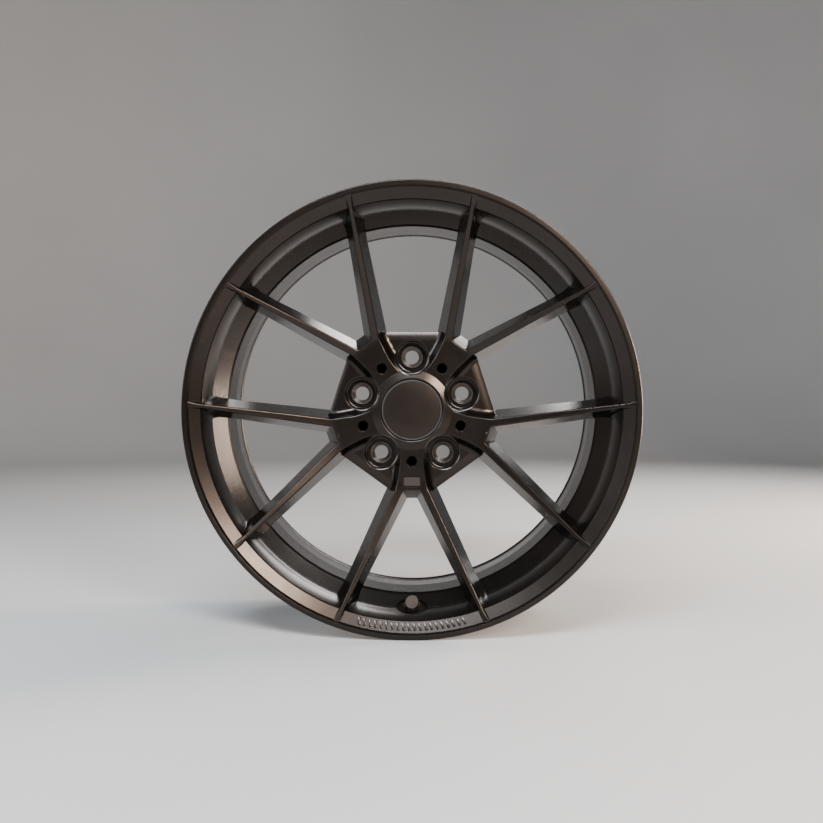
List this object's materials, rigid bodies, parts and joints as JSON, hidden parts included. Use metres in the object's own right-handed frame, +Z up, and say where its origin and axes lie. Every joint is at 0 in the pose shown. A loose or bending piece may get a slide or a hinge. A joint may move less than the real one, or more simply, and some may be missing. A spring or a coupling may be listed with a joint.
{
  "type": "forged wheel rim",
  "caption": "Forged one-piece wheel rim with slim forked spokes, open lug-bolt pockets, a push-in centre cap and a clamp-in tyre valve.",
  "frame": {"origin": "centre of the bolt circle on the hub mounting face", "axes": "+Y along the axle towards the vehicle, -Y out of the visible face, +Z up with the valve at the bottom"},
  "size_m": [0.4966, 0.2379, 0.4966],
  "materials": {
    "dark_bronze_coat": "forged aluminium under a satin dark bronze-black powder coat",
    "seat_steel": "machined seat, dark coated",
    "ring_aluminium": "turned aluminium",
    "cap_face": "satin dark bronze, blank",
    "cap_plastic": "moulded black plastic",
    "spring_wire": "drawn spring wire",
    "plate_coat": "satin coat, blank plate",
    "valve_metal": "black anodised",
    "valve_cap_metal": "satin anodised, grooved",
    "valve_rubber": "moulded rubber",
    "core_brass": "turned brass"
  },
  "bodies": {
    "wheel": {"rim_front_lip": "dark_bronze_coat", "rim_front_step": "dark_bronze_coat", "rim_well": "dark_bronze_coat", "rim_barrel": "dark_bronze_coat", "rim_rear_lip": "dark_bronze_coat", "hub_centre": "dark_bronze_coat", "spoke_01": "dark_bronze_coat", "spoke_02": "dark_bronze_coat", "spoke_03": "dark_bronze_coat", "spoke_04": "dark_bronze_coat", "spoke_05": "dark_bronze_coat", "spoke_06": "dark_bronze_coat", "spoke_07": "dark_bronze_coat", "spoke_08": "dark_bronze_coat", "spoke_09": "dark_bronze_coat", "spoke_10": "dark_bronze_coat", "bolt_seat_insert_1": "seat_steel", "bolt_seat_insert_2": "seat_steel", "bolt_seat_insert_3": "seat_steel", "bolt_seat_insert_4": "seat_steel", "bolt_seat_insert_5": "seat_steel", "hub_ring": "ring_aluminium", "badge_plate": "plate_coat", "valve_stem": "valve_metal", "valve_grommet": "valve_rubber", "valve_washer": "valve_metal", "valve_nut": "valve_metal", "valve_core_body": "core_brass", "valve_core_spring": "spring_wire", "valve_core_seal": "valve_rubber"},
    "centre_cap": {"cap_disc": "cap_face", "cap_body": "cap_plastic", "cap_spring_ring": "spring_wire"},
    "valve_cap_carrier": {"valve_cap_seal": "valve_rubber"},
    "valve_cap": {"valve_cap_shell": "valve_cap_metal"},
    "valve_pin": {"valve_core_pin": "core_brass"}
  },
  "joints": [
    {"name": "centre_cap_pull", "type": "slide", "parent": "wheel", "child": "centre_cap", "axis": [0, -1, 0], "range_m": [0, 0.03]},
    {"name": "valve_cap_lift", "type": "slide", "parent": "wheel", "child": "valve_cap_carrier", "axis": [0, -0.9272, 0.3746], "range_m": [0, 0.0135]},
    {"name": "valve_cap_turn", "type": "hinge", "parent": "valve_cap_carrier", "child": "valve_cap", "pos_m": [0, -0.0365, -0.2175], "axis": [0, -0.9272, 0.3746], "range_deg": [0, 6122]},
    {"name": "valve_pin_press", "type": "slide", "parent": "wheel", "child": "valve_pin", "axis": [0, 0.9272, -0.3746], "range_m": [0, 0.0008], "stiffness_N_per_m": 1500, "springref_m": -0.002}
  ],
  "couplings": [
    {"joint": "valve_cap_turn", "follows": "valve_cap_lift", "rad_per_m": 7913.3}
  ]
}
